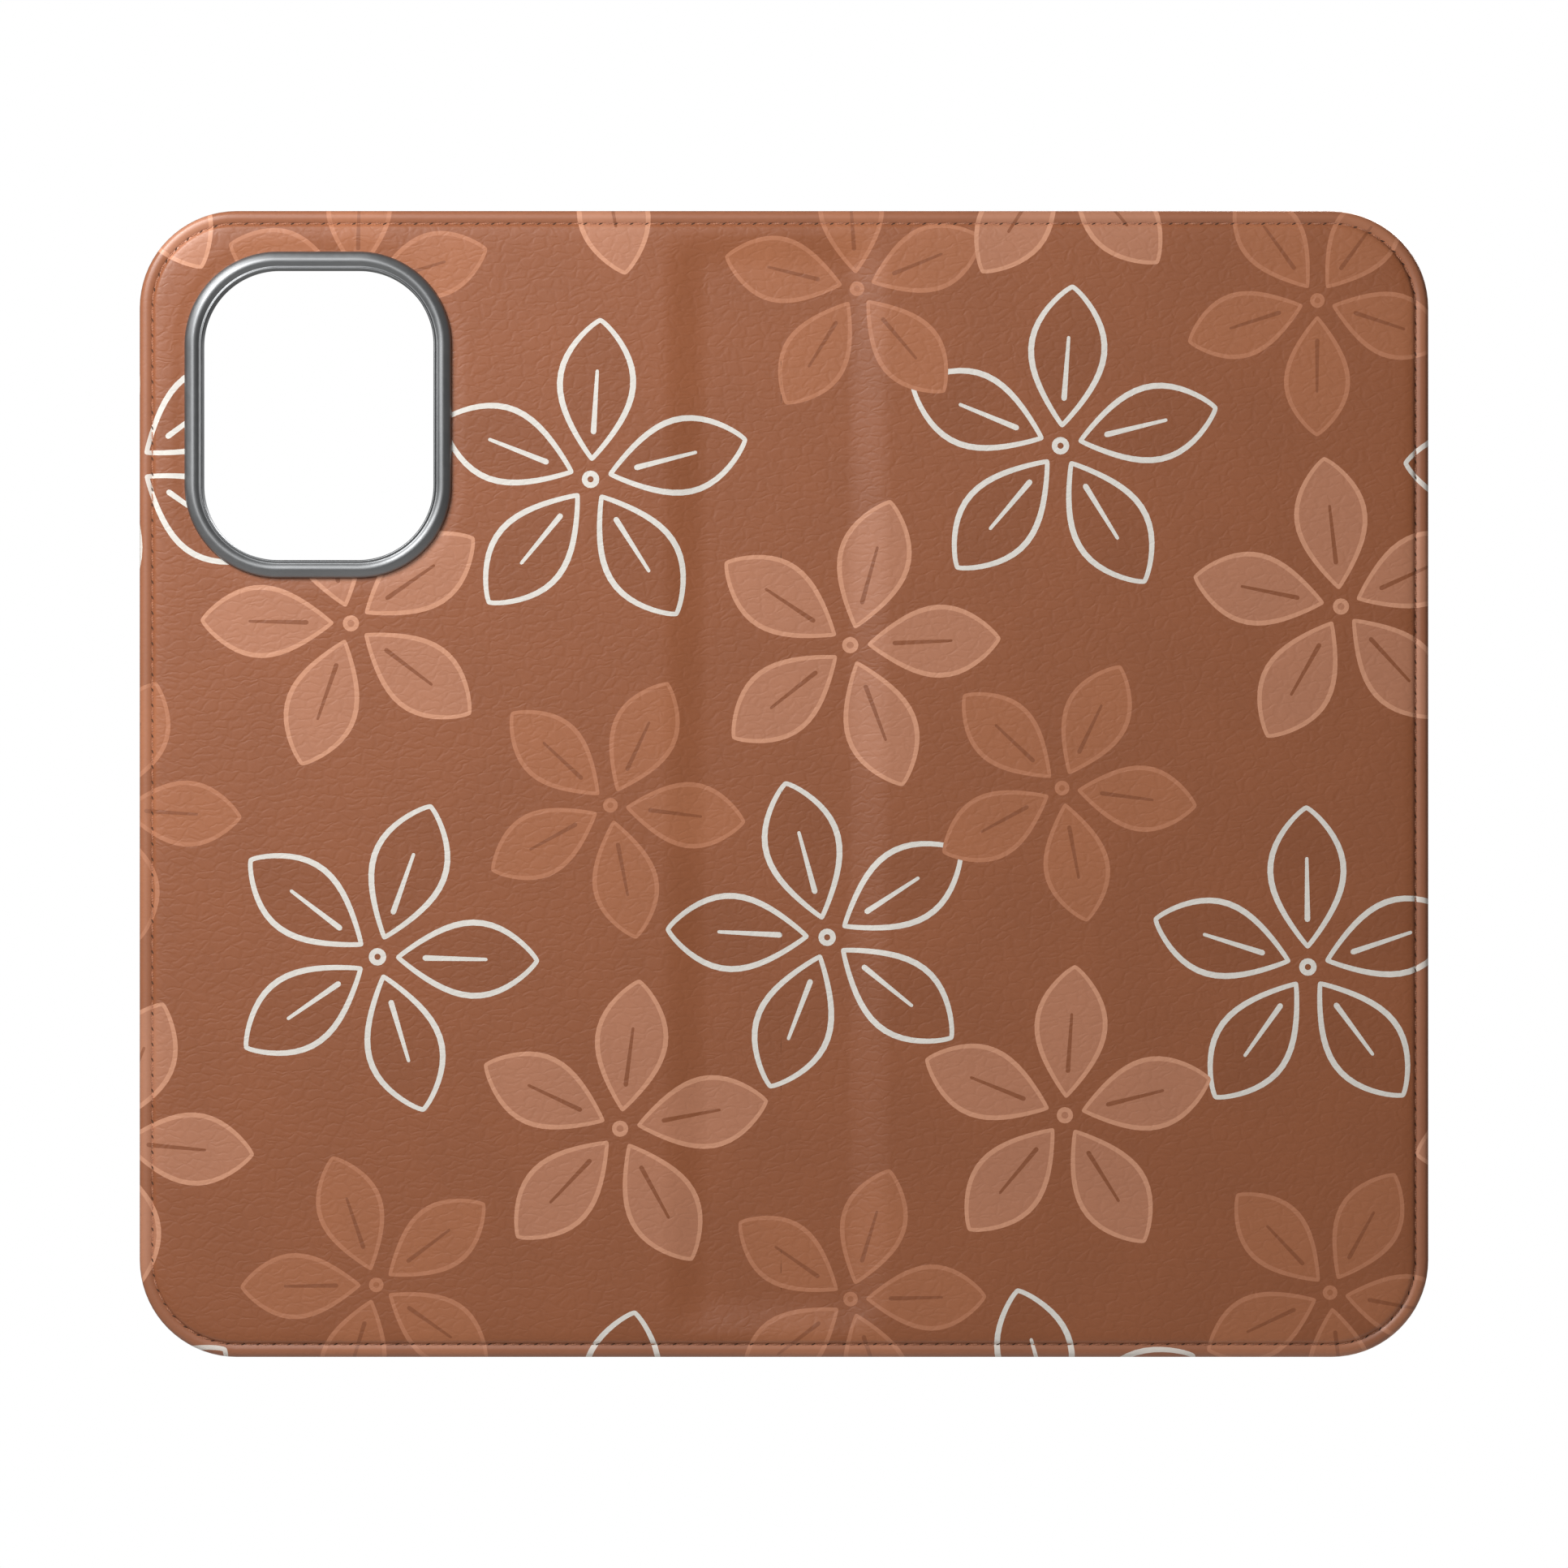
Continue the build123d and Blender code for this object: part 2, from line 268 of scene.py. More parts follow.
def blossoms():
    """Ink, middle, radius and first angle of every blossom, in the order of their inks."""
    rng = np.random.default_rng(PRINT_SEED)
    inks = list(BLOSSOM_RADIUS)
    made = []
    for column in range(int(WIDTH // COLUMN_STEP) + 2):
        for row in range(int(HEIGHT // ROW_STEP) + 2):
            ink = inks[(column - row + column // 2) % len(inks)]
            spot = np.array([column * COLUMN_STEP, (row + column % 2 / 2) * ROW_STEP])
            middle = FIRST_BLOSSOM + spot + rng.uniform(-STRAY, STRAY, 2)
            made.append((ink, middle, BLOSSOM_RADIUS[ink], rng.uniform(0, 2 * math.pi / PETALS)))
    return sorted(made, key=lambda blossom: inks.index(blossom[0]))


ARTWORK = [region for blossom in blossoms() for region in draw_blossom(*blossom)]

# Ink colours on the leather, linear.
INKS = {
    "leather": (0.296, 0.090, 0.030),
    "vein": (0.272, 0.081, 0.026),
    "white fill": (0.274, 0.082, 0.026),
    "white": (0.76, 0.72, 0.66),
    "clay fill": (0.385, 0.131, 0.052),
    "clay": (0.475, 0.182, 0.088),
    "blush fill": (0.455, 0.183, 0.096),
    "blush": (0.620, 0.285, 0.165),
    # Painted shade: the needle holes are coloured near black, as shade inside them, on a skin that has no
    # hole there.
    "hole": (0.014, 0.006, 0.004),
}
INK_NAMES = list(INKS)


def paint(points, regions):
    """The colour at each point, as a place in INK_NAMES. Later regions cover earlier ones."""
    ink = np.zeros(len(points), int)
    for colour, polygon in regions:
        ink[inside_polygon(points, polygon)] = INK_NAMES.index(colour)
    return ink


# ---- Depths of the sheets ---------------------------------------------------------------
EDGE_PROFILE = smooth_curve(
    [
        (0.0, 1.15), (0.05, 0.88), (0.2, 0.62), (0.5, 0.42), (0.95, 0.34), (1.35, 0.38),
        (1.60, 0.46), (1.75, 0.56), (1.86, 0.52), (2.00, 0.31), (2.3, 0.15), (3.2, 0.04),
        (4.6, 0.0),
    ]
)
WINDOW_PRESS = 0.14                 # how deep the bezel presses the skin round it
UNDER_PROFILE = smooth_curve([(0.0, 1.35), (0.06, 1.65), (0.2, 1.86), (0.45, 1.97), (0.8, 2.0)])

# Where the skin's mesh has rings, in from the case's outline, and what is under them.
RINGS = [
    0.03, 0.1, 0.2, 0.35, 0.6, 0.9, 1.2, 1.42, 1.6, 1.72, 1.82, 1.95, 2.15, 2.45, 2.9, 3.6, 4.6,
]
UNDER_RINGS = [0.06, 0.2, 0.45, 0.8, 1.6, 2.48, 2.58]
LINING_RINGS = [0.04, 0.12, 0.25, 0.42, 0.6, 0.75, 0.9, 1.0, 1.1, 1.25, 1.4, 1.6, 1.9, 2.3]
WINDOW_RINGS = [1.0, 0.6, 0.2, -0.3, -0.8, -1.4, -2.1, -3.0]
UNDER_WINDOW_RINGS = [0.6, -0.8, -3.0]


def dip_depth(x, z):
    """How far the skin dips over the spine."""
    down = smoothstep(*BACK_DIP, x) - smoothstep(*COVER_DIP, x)
    from_end = np.minimum(z, HEIGHT - z)
    return DIP * down * smoothstep(*DIP_FADE, from_end)


def window_distance(x, z):
    """How far a point lies outside the bezel's flange."""
    size = (WINDOW_W, WINDOW_H)
    return -rounded_distance(x, z, (WINDOW_X, WINDOW_Z), size, WINDOW_CORNER)


def skin_depth(x, z):
    """Depth of the outer skin's outer face."""
    pressed = WINDOW_PRESS * (1 - smoothstep(-0.2, 2.2, window_distance(x, z)))
    return EDGE_PROFILE(edge_distance(x, z)) + dip_depth(x, z) + pressed


def skin_under(x, z):
    """Depth of the outer skin's inner face: the sewn rim, and the pocket for the boards."""
    distance = edge_distance(x, z)
    pocket = smoothstep(BOARD_INSET - 0.12, BOARD_INSET - 0.02, distance)
    return UNDER_PROFILE(distance) * (1 - pocket) + (SKIN + dip_depth(x, z)) * pocket


LINING_CREASE = 0.12                # depth of the lining's creases at its seam and folds


def crease(value, middle, width):
    """1 in the middle of a crease, falling to 0 at each side."""
    return np.exp(-(((value - middle) / width) ** 2))


def lining_face(x, z):
    """Depth of the lining's face on the phone side, which is thinner where it is sewn."""
    distance = edge_distance(x, z) - LINING_INSET
    rounding = 0.28 * (1 - smoothstep(-0.02, 0.4, distance)) ** 2
    thinner = 0.1 * (1 - smoothstep(1.5, 2.6, distance))
    sewn = LINING_CREASE * crease(distance, SEAM_INSET - LINING_INSET, 0.3)
    folds = sum(crease(x, fold + side * 2.7, 0.35) for fold in FOLDS for side in (-1, 1))
    return LINING_TOP - rounding - (thinner + sewn) - LINING_CREASE * folds


def pocket_depths(node, distance_to_edge):
    """The two faces of a pocket sheet, from its node's box and its distance to the edge."""
    low, high = corner(node, 0)[1] - OUTER, corner(node, 1)[1] - OUTER
    mouth = corner(node, 0)[0] - LEFT

    def outer(x, z):
        return low + 0.06 + 0 * x

    def inner(x, z):
        distance = distance_to_edge(x, z)
        rounding = 0.42 * (1 - smoothstep(-0.02, 0.5, distance)) ** 2
        hem = 0.12 * crease(x - mouth, POCKET_HEM, 0.28)
        seam = 0.1 * crease(distance, SEAM_INSET, 0.35) * (x > mouth + POCKET_HEM + 1)
        return high - rounding - hem - seam

    return outer, inner


# ---- Meshes ---------------------------------------------------------------------------
def closed_edges(count, start):
    """Edges round a loop of points that begins at start."""
    return [(start + i, start + (i + 1) % count) for i in range(count)]


def triangulate(loops, loose, marks=(), lines=()):
    """Triangles inside the first loop and outside the others, which follow marks and lines."""
    points, edges = [], []
    for loop in [*loops, *marks]:
        edges += closed_edges(len(loop), len(points))
        points += loop.tolist()
    for line in lines:
        edges += [(len(points) + i, len(points) + i + 1) for i in range(len(line) - 1)]
        points += line.tolist()
    points += loose.tolist()
    made = delaunay_2d_cdt([Vector(p) for p in points], edges, [], 0, 1e-4, False)
    flat = np.array([tuple(v) for v in made[0]])
    triangles = np.array(made[2])
    centres = flat[triangles].mean(axis=1)
    kept = inside_polygon(centres, loops[0])
    for hole in loops[1:]:
        kept &= ~inside_polygon(centres, hole)
    return flat, triangles[kept]


def compact(flat, triangles):
    """Only the points that the triangles use."""
    used, numbers = np.unique(triangles, return_inverse=True)
    return flat[used], numbers.reshape(-1, 3)


def rim_of(triangles):
    """The edges that only one triangle has, and which triangle that is."""
    edges = np.concatenate([triangles[:, [i, (i + 1) % 3]] for i in range(3)])
    _, first, count = np.unique(np.sort(edges, axis=1), axis=0, return_index=True, return_counts=True)
    alone = first[count == 1]
    return edges[alone], alone % len(triangles)


def coarse_under(flat, rim, loose, lines):
    """Fewer triangles inside the same rim, and which of their points each rim point is."""
    ends, numbers = np.unique(rim, return_inverse=True)
    points = flat[ends].tolist()
    edges = [tuple(edge) for edge in numbers.reshape(-1, 2).tolist()]
    for line in lines:
        edges += [(len(points) + i, len(points) + i + 1) for i in range(len(line) - 1)]
        points += line.tolist()
    points += loose.tolist()
    made = delaunay_2d_cdt([Vector(p) for p in points], edges, [], 1, 1e-4, True)
    below = np.full(len(flat), -1)
    for number, sources in enumerate(made[3]):
        for source in sources:
            if source < len(ends):
                below[ends[source]] = number
    under, triangles = np.array([tuple(v) for v in made[0]]), np.array(made[2])
    in_window = inside_polygon(under[triangles].mean(axis=1), WINDOW_HOLE)
    return under, triangles[~in_window], below


def normals_of(depth, flat, outward):
    """Unit normals of a face given by its depth. Outward is -1 on the outer side."""
    x, z = flat.T
    reach = 0.01
    across = (depth(x + reach, z) - depth(x - reach, z)) / (2 * reach)
    up = (depth(x, z + reach) - depth(x, z - reach)) / (2 * reach)
    normal = np.stack([-outward * across, np.full(len(x), float(outward)), -outward * up], axis=1)
    return normal / np.linalg.norm(normal, axis=1)[:, None]


def mesh_piece(name, points, faces, material, flat=None, corner_normals=None):
    """A new object with a material, a flat map in decimetres and its own shading normals."""
    mesh = bpy.data.meshes.new(name)
    mesh.from_pydata(points.tolist(), [], faces if isinstance(faces, list) else faces.tolist())
    mesh.update()
    mesh.shade_smooth()
    if flat is not None:
        vertex = np.zeros(len(mesh.loops), int)
        mesh.loops.foreach_get("vertex_index", vertex)
        layer = mesh.uv_layers.new(name="flat")
        layer.uv.foreach_set("vector", (flat[vertex] / 100).ravel())
    if corner_normals is not None:
        mesh.normals_split_custom_set(corner_normals.reshape(-1, 3).tolist())
    mesh.materials.append(material)
    piece = bpy.data.objects.new(name, mesh)
    bpy.context.scene.collection.objects.link(piece)
    return piece


def closed_sheet(name, flat, triangles, outer, inner, material, inks=None, under=None):
    """A closed sheet between two depths: its outer face, its inner face and its edge."""
    flat, triangles = compact(flat, triangles)
    rim, owner = rim_of(triangles)
    if under is None:
        flat_under, under_triangles, below = flat, triangles, np.arange(len(flat))
    else:
        flat_under, under_triangles, below = coarse_under(flat, rim, *under)
    count = len(flat)
    a, b = rim.T
    under_a, under_b = below[a] + count, below[b] + count
    walls = np.concatenate([np.stack([b, a, under_a], 1), np.stack([b, under_a, under_b], 1)])
    faces = np.concatenate([triangles, under_triangles[:, ::-1] + count, walls])
    both = np.concatenate([flat, flat_under])
    points = np.concatenate(
        [
            place(flat[:, 0], outer(*flat.T), flat[:, 1]),
            place(flat_under[:, 0], inner(*flat_under.T), flat_under[:, 1]),
        ]
    )
    normals = np.concatenate([normals_of(outer, flat, -1), normals_of(inner, flat_under, 1)])
    corner_normals = normals[faces]
    on_cut = np.abs(both[faces][:, :, 0] - MID_SPINE).max(axis=1) < 0.001
    on_cut[: len(faces) - len(walls)] = False
    away = np.sign(MID_SPINE - flat[:, 0].mean())
    corner_normals[on_cut] = (away, 0, 0)
    piece = mesh_piece(name, points, faces, material, both, corner_normals)
    if inks is not None:
        plain = np.zeros(len(under_triangles), int)
        ink = np.concatenate([inks, plain, inks[owner], inks[owner]])
        palette = np.array([INKS[ink_name] for ink_name in INK_NAMES])
        grained = smoothstep(1.5, 2.6, edge_distance(*both[faces].reshape(-1, 2).T))
        colours = np.column_stack([np.repeat(palette[ink], 3, axis=0), grained])
        layer = piece.data.color_attributes.new("ink", "FLOAT_COLOR", "CORNER")
        layer.data.foreach_set("color", colours.ravel())
    return piece


def jittered_grid(step, seed, inside):
    """Loose points about step apart over the case, where inside says so."""
    rng = np.random.default_rng(seed)
    x, z = np.meshgrid(np.arange(step / 2, WIDTH, step), np.arange(step / 2, HEIGHT, step))
    x[::2] += step / 2
    points = np.stack([x.ravel(), z.ravel()], axis=1)
    points += rng.uniform(-0.18, 0.18, points.shape) * step
    return points[inside(*points.T)]


def part_of(ring, kept):
    """The stretch of a closed ring whose points are kept, as an open line."""
    starts = np.flatnonzero(kept & ~np.roll(kept, 1))
    if len(starts) == 0:
        return np.vstack([ring, ring[:1]])
    return np.roll(ring, -starts[0], axis=0)[np.roll(kept, -starts[0])]


def rings(middle, size, radius, insets, step):
    """Closed rings of points, each a bit further in from the outline."""
    return [
        rounded_loop(middle, (size[0] - 2 * i, size[1] - 2 * i), radius - i, step)[0] for i in insets
    ]


COLUMN_END = 4.8                    # how far from the top and bottom edges the columns end
CASE = ((WIDTH / 2, HEIGHT / 2), (WIDTH, HEIGHT), CORNER)
WINDOW = ((WINDOW_X, WINDOW_Z), (WINDOW_W, WINDOW_H), WINDOW_CORNER)
OUTLINE = rings(*CASE, [0.0], 1.2)[0]
WINDOW_HOLE = rings(*WINDOW, [FLANGE], 1.0)[0]
LINING_OUTLINE = rings(*CASE, [LINING_INSET], 1.2)[0]
SEAM = rings(*CASE, [SEAM_INSET], 0.4)[0]


def away_from_folds(x, z):
    """Plain parts of the panels, where a coarse grid will do."""
    in_back_fold = (x > BACK_DIP[0] - 1) & (x < BACK_FOLD + FOLD_REACH + 1)
    in_cover_fold = (x > COVER_FOLD - FOLD_REACH - 1) & (x < COVER_DIP[1] + 1)
    clear = (edge_distance(x, z) > 5.2) & (np.abs(window_distance(x, z) - 1) > 2.2)
    return clear & ~in_back_fold & ~in_cover_fold


def fold_columns(across, up):
    """Even lines up both folds and their slopes, which let the sheet bend smoothly."""
    z = np.linspace(COLUMN_END, HEIGHT - COLUMN_END, round((HEIGHT - 2 * COLUMN_END) / up))
    back = np.arange(BACK_DIP[0] - 0.6, BACK_FOLD + FOLD_REACH + 0.6, across)
    cover = np.arange(COVER_FOLD - FOLD_REACH - 0.6, COVER_DIP[1] + 0.6, across)
    return [np.stack([np.full(len(z), x), z], axis=1) for x in (*back, *cover)]


def off_the_rim(points, gap=0.02):
    """Points that are clear of the outline, the window and the cut in the spine."""
    x, z = points.T
    clear = (edge_distance(x, z) > gap) & (np.abs(x - MID_SPINE) > gap)
    return points[clear & (window_distance(x, z) > gap - FLANGE)]


def cut_line(inset):
    """Points up the middle of the spine, between two edges inset from the case's."""
    fine = np.array([r for r in RINGS if r > inset])
    middle = np.arange(6.5, HEIGHT - 6.4, 2.5)
    z = np.concatenate([[inset], fine, middle, HEIGHT - fine[::-1], [HEIGHT - inset]])
    return np.stack([np.full(len(z), MID_SPINE), z], axis=1)


# ---- Materials ------------------------------------------------------------------------
GRAIN_DEPTH = 0.0000145             # metres
RIM_HIGHLIGHT_SHARE = 0.11                       # share of painted highlight mixed into the colour along the rolled rim
# colour of the painted highlight along the rolled rim
RIM_HIGHLIGHT_COLOUR = (0.80, 0.46, 0.34)
POCKET_COLOUR = (0.030, 0.029, 0.030)
LINING_COLOUR = (0.034, 0.033, 0.035)
THREAD_COLOUR = (0.46, 0.19, 0.105)
INNER_THREAD_COLOUR = (0.05, 0.048, 0.05)
TRAY_COLOUR = (0.022, 0.022, 0.024)
BEZEL_COLOUR = (0.25, 0.255, 0.26)
MAGNET_COLOUR = (0.55, 0.55, 0.56)
TAPE_COLOUR = (0.75, 0.72, 0.62)
BOARD_COLOUR = (0.27, 0.245, 0.21)
FLOOR_COLOUR = (0.86, 0.86, 0.85)


def add(tree, kind, inputs=None, **settings):
    """A new node with its settings, and inputs that are values or other nodes' outputs."""
    made = tree.nodes.new(kind)
    for key, value in settings.items():
        setattr(made, key, value)
    for key, value in (inputs or {}).items():
        if isinstance(value, bpy.types.NodeSocket):
            tree.links.new(value, made.inputs[key])
        else:
            made.inputs[key].default_value = value
    return made


def new_material(name, **shader):
    """A material, its node tree and its shader, with the shader's plain values set."""
    material = bpy.data.materials.new(name)
    material.use_nodes = True
    tree = material.node_tree
    principled = tree.nodes["Principled BSDF"]
    for key, value in shader.items():
        principled.inputs[key.replace("_", " ")].default_value = value
    return material, tree, principled


def maths(tree, operation, a, b=0.0, c=0.0, clamp=False):
    """The result of one Math node."""
    return add(tree, "ShaderNodeMath", {0: a, 1: b, 2: c}, operation=operation, use_clamp=clamp).outputs[0]


def vector_maths(tree, operation, inputs):
    """The result of one Vector Math node."""
    return add(tree, "ShaderNodeVectorMath", inputs, operation=operation).outputs["Vector"]


def remap(tree, value, low, high, to_low, to_high):
    """A value moved from one range to another, smoothly and without overshoot."""
    inputs = {"Value": value, "From Min": low, "From Max": high, "To Min": to_low, "To Max": to_high}
    return add(tree, "ShaderNodeMapRange", inputs, interpolation_type="SMOOTHSTEP").outputs["Result"]


def noise(tree, where, scale, detail=3.0, roughness=0.5):
    """Noise with its mean near one half."""
    inputs = {"Vector": where, "Scale": scale, "Detail": detail, "Roughness": roughness}
    return add(tree, "ShaderNodeTexNoise", inputs).outputs["Fac"]


def flat_map(tree):
    """Flat coordinates in decimetres, which stay put as the sheet bends."""
    return add(tree, "ShaderNodeUVMap", uv_map="flat").outputs["UV"]


def shaded(tree, colour, factor):
    """A colour made darker or lighter by a factor."""
    return vector_maths(tree, "SCALE", {0: colour, "Scale": factor})


def finish_surface(tree, principled, colour, roughness, height, depth):
    """Links a colour, a roughness and a height in metres times depth to the shader."""
    bump = add(tree, "ShaderNodeBump", {"Height": height, "Distance": depth, "Strength": 1.0})
    tree.links.new(colour, principled.inputs["Base Color"])
    tree.links.new(roughness, principled.inputs["Roughness"])
    tree.links.new(bump.outputs["Normal"], principled.inputs["Normal"])


def leather_grain(tree, where, cell, stretch, lean, soft=0.2):
    """Height of a leather grain: soft cells of that size in mm, with creases between."""
    warp = add(tree, "ShaderNodeTexNoise", {"Vector": where, "Scale": 60 / cell, "Detail": 2.0})
    shift = vector_maths(tree, "SUBTRACT", {0: warp.outputs["Color"], 1: (0.5,) * 3})
    moved = vector_maths(tree, "MULTIPLY_ADD", {0: shift, 1: (cell / 58,) * 3, 2: where})
    turn = (0, 0, math.radians(-lean))
    scale = (100 / (cell * stretch), 100 / cell, 1)
    turned = add(tree, "ShaderNodeMapping", {"Vector": moved, "Rotation": turn, "Scale": scale})
    inputs = {"Vector": turned.outputs["Vector"], "Scale": 1.0}
    settings = {"voronoi_dimensions": "2D", "feature": "DISTANCE_TO_EDGE"}
    cells = add(tree, "ShaderNodeTexVoronoi", inputs, **settings)
    return remap(tree, cells.outputs["Distance"], 0.0, soft, 0.0, 1.0)


def printed_leatherette():
    """Soft grained leatherette, printed with the blossoms before it was grained.

    The ink layer's alpha is the share of the grain: it is pressed smooth along the edge,
    where the skin is pulled round the rim. There the colour gets a painted highlight, mixed
    towards a pale peach, and all over the grain's creases get a faint painted shade."""
    material, tree, principled = new_material("printed_leatherette")
    where = flat_map(tree)
    layer = add(tree, "ShaderNodeAttribute", attribute_name="ink")
    grained = layer.outputs["Alpha"]
    long_cells = leather_grain(tree, where, 1.2, 1.9, 14, 0.24)
    folds = leather_grain(tree, where, 2.2, 1.8, 8, 0.12)
    swells = noise(tree, where, 55.0, 2.0)
    mottle = noise(tree, where, 9.0, 4.0)
    pores = noise(tree, where, 330.0, 2.0)
    height = maths(tree, "MULTIPLY_ADD", folds, 0.45, long_cells)
    height = maths(tree, "MULTIPLY_ADD", swells, 1.2, height)
    height = maths(tree, "MULTIPLY_ADD", pores, 0.15, height)
    share = maths(tree, "MULTIPLY_ADD", grained, 0.85, 0.15)
    height = maths(tree, "MULTIPLY", height, share)
    # Painted shade: the grain's creases are coloured up to 2.5% darker; the mottle below is the leather's
    # own uneven tone.
    tone = remap(tree, long_cells, 0.0, 0.6, 0.975, 1.0)
    tone = maths(tree, "MULTIPLY", tone, remap(tree, mottle, 0.3, 0.7, 0.975, 1.025))
    roughness = remap(tree, grained, 0.0, 1.0, 0.38, 0.48)
    roughness = maths(tree, "MULTIPLY_ADD", maths(tree, "SUBTRACT", pores, 0.5), -0.2, roughness)
    # Painted highlight: the colour is mixed towards a pale peach along the rolled rim, where the grain
    # fades out.
    rim_highlight = maths(tree, "MULTIPLY_ADD", grained, -RIM_HIGHLIGHT_SHARE, RIM_HIGHLIGHT_SHARE)
    highlighted = add(
        tree,
        "ShaderNodeMix",
        {"Factor": rim_highlight, "A": layer.outputs["Color"], "B": (*RIM_HIGHLIGHT_COLOUR, 1.0)},
        data_type="RGBA",
    )
    colour = shaded(tree, highlighted.outputs["Result"], tone)
    red = add(tree, "ShaderNodeSeparateColor", {"Color": layer.outputs["Color"]}).outputs["Red"]
    shine = remap(tree, red, 0.05, 0.2, 0.0, 0.58)
    tree.links.new(shine, principled.inputs["Specular IOR Level"])
    finish_surface(tree, principled, colour, roughness, height, GRAIN_DEPTH)
    return material


def dark_leatherette():
    """Finer grained charcoal leatherette of the pockets."""
    material, tree, principled = new_material("pocket_leatherette", Specular_IOR_Level=0.4)
    where = flat_map(tree)
    cells = leather_grain(tree, where, 0.9, 1.3, 0)
    pores = noise(tree, where, 300.0, 2.0)
    height = maths(tree, "MULTIPLY_ADD", pores, 0.3, cells)
    tone = remap(tree, noise(tree, where, 11.0, 4.0), 0.3, 0.7, 0.85, 1.15)
    colour = shaded(tree, add_colour(tree, POCKET_COLOUR), tone)
    roughness = remap(tree, height, 0.0, 1.2, 0.62, 0.48)
    finish_surface(tree, principled, colour, roughness, height, 0.00005)
    return material


def add_colour(tree, colour):
    """A plain colour to be varied by other nodes."""
    made = add(tree, "ShaderNodeRGB")
    made.outputs[0].default_value = (*colour, 1.0)
    return made.outputs[0]


def suede_lining():
    """Charcoal microsuede with a short nap that has been stroked in patches."""
    material, tree, principled = new_material(
        "inner_lining", Specular_IOR_Level=0.2, Sheen_Weight=0.35, Sheen_Roughness=0.45
    )
    where = flat_map(tree)
    nap = noise(tree, where, 420.0, 3.0, 0.7)
    strokes = remap(tree, noise(tree, where, 5.0, 3.0), 0.35, 0.65, 0.8, 1.25)
    tone = maths(tree, "MULTIPLY", strokes, remap(tree, nap, 0.3, 0.7, 0.75, 1.2))
    colour = shaded(tree, add_colour(tree, LINING_COLOUR), tone)
    finish_surface(tree, principled, colour, remap(tree, nap, 0.3, 0.7, 0.95, 0.85), nap, 0.00009)
    return material


def moulded(name, colour, roughness, grain, depth, **shader):
    """Moulded plastic with a fine spark-eroded texture and faint flow marks."""
    material, tree, principled = new_material(name, **shader)
    where = add(tree, "ShaderNodeTexCoord").outputs["Object"]
    sparks = noise(tree, where, grain, 3.0, 0.6)
    flow = noise(tree, where, 35.0, 3.0)
    tone = remap(tree, flow, 0.3, 0.7, 0.92, 1.08)
    rough = maths(tree, "MULTIPLY_ADD", maths(tree, "SUBTRACT", sparks, 0.5), 0.18, roughness)
    finish_surface(tree, principled, shaded(tree, add_colour(tree, colour), tone), rough, sparks, depth)
    return material


def thread(name, colour):
    """Twisted thread, with its plies as slanting ridges."""
    material, tree, principled = new_material(name, Specular_IOR_Level=0.35, Sheen_Weight=0.2)
    where = flat_map(tree)
    turned = add(tree, "ShaderNodeMapping", {"Vector": where, "Rotation": (0, 0, math.radians(38))})
    plies = add(tree, "ShaderNodeTexWave", {"Vector": turned.outputs["Vector"], "Scale": 85.0})
    fuzz = noise(tree, where, 500.0, 2.0)
    # Painted shade: the thread is coloured darker in the grooves between its plies.
    tone = maths(tree, "MULTIPLY_ADD", plies.outputs["Fac"], 0.35, 0.7)
    tone = maths(tree, "MULTIPLY_ADD", fuzz, 0.2, tone)
    colour = shaded(tree, add_colour(tree, colour), tone)
    roughness = remap(tree, fuzz, 0, 1, 0.7, 0.5)
    finish_surface(tree, principled, colour, roughness, plies.outputs["Fac"], 0.00005)
    return material


def fibre_board():
    """Recycled greyboard, with short fibres and specks."""
    material, tree, principled = new_material("greyboard", Specular_IOR_Level=0.2)
    where = add(tree, "ShaderNodeTexCoord").outputs["Object"]
    fibres = noise(tree, where, 900.0, 5.0, 0.7)
    tone = remap(tree, fibres, 0.35, 0.65, 0.8, 1.15)
    colour = shaded(tree, add_colour(tree, BOARD_COLOUR), tone)
    finish_surface(tree, principled, colour, remap(tree, fibres, 0, 1, 0.95, 0.8), fibres, 0.00006)
    return material


# ---- The outer skin, in two halves that meet up the middle of the spine -----------------
def along(loop, distance):
    """Points and headings at distances along a closed loop."""
    closed = np.vstack([loop, loop[:1]])
    runs = np.linalg.norm(np.diff(closed, axis=0), axis=1)
    reached = np.concatenate([[0], np.cumsum(runs)])
    distance = np.mod(distance, reached[-1])
    point = np.stack([np.interp(distance, reached, closed[:, i]) for i in (0, 1)], axis=-1)
    ahead = np.mod(distance + 0.05, reached[-1])
    heading = np.stack([np.interp(ahead, reached, closed[:, i]) for i in (0, 1)], axis=-1) - point
    return point, heading / np.linalg.norm(heading, axis=-1)[..., None]


def loop_length(loop):
    """Length round a closed loop."""
    return np.linalg.norm(np.diff(np.vstack([loop, loop[:1]]), axis=0), axis=1).sum()


STITCHES = round(loop_length(SEAM) / STITCH_PITCH)
PITCH = loop_length(SEAM) / STITCHES


# Each half's name, the side of mid-spine that it is on, and its width.
HALVES = [("back", -1, MID_SPINE), ("cover", 1, WIDTH - MID_SPINE)]
SKIN_NODES = {
    "back": ("back_skin", "back_fold", "spine_skin"),
    "cover": ("cover_skin", "cover_fold"),
}
LINING_NODES = {"back": ("back_lining", "spine_lining"), "cover": ("cover_lining",)}
SEAM_NODES = {"back": ("back_stitching", "spine_stitching"), "cover": ("cover_stitching",)}


def needle_holes():
    """The pricked holes between the stitches, as small closed polygons."""
    turn = np.linspace(0, 2 * math.pi, HOLE_SIDES, endpoint=False)[:, None]
    half_length, half_width = HOLE_SIZE
    holes = []
    for i in range(STITCHES):
        centre, heading = along(SEAM, i * PITCH)
        side = np.array([-heading[1], heading[0]])
        slanted = heading + HOLE_SLANT * side
        ellipse = half_length * np.cos(turn) * slanted + half_width * np.sin(turn) * side
        holes.append(centre + ellipse)
    return holes


def bend(piece):
    """Bakes a piece's placement into its mesh; nothing here makes it bend at a fold."""
    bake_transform(piece)


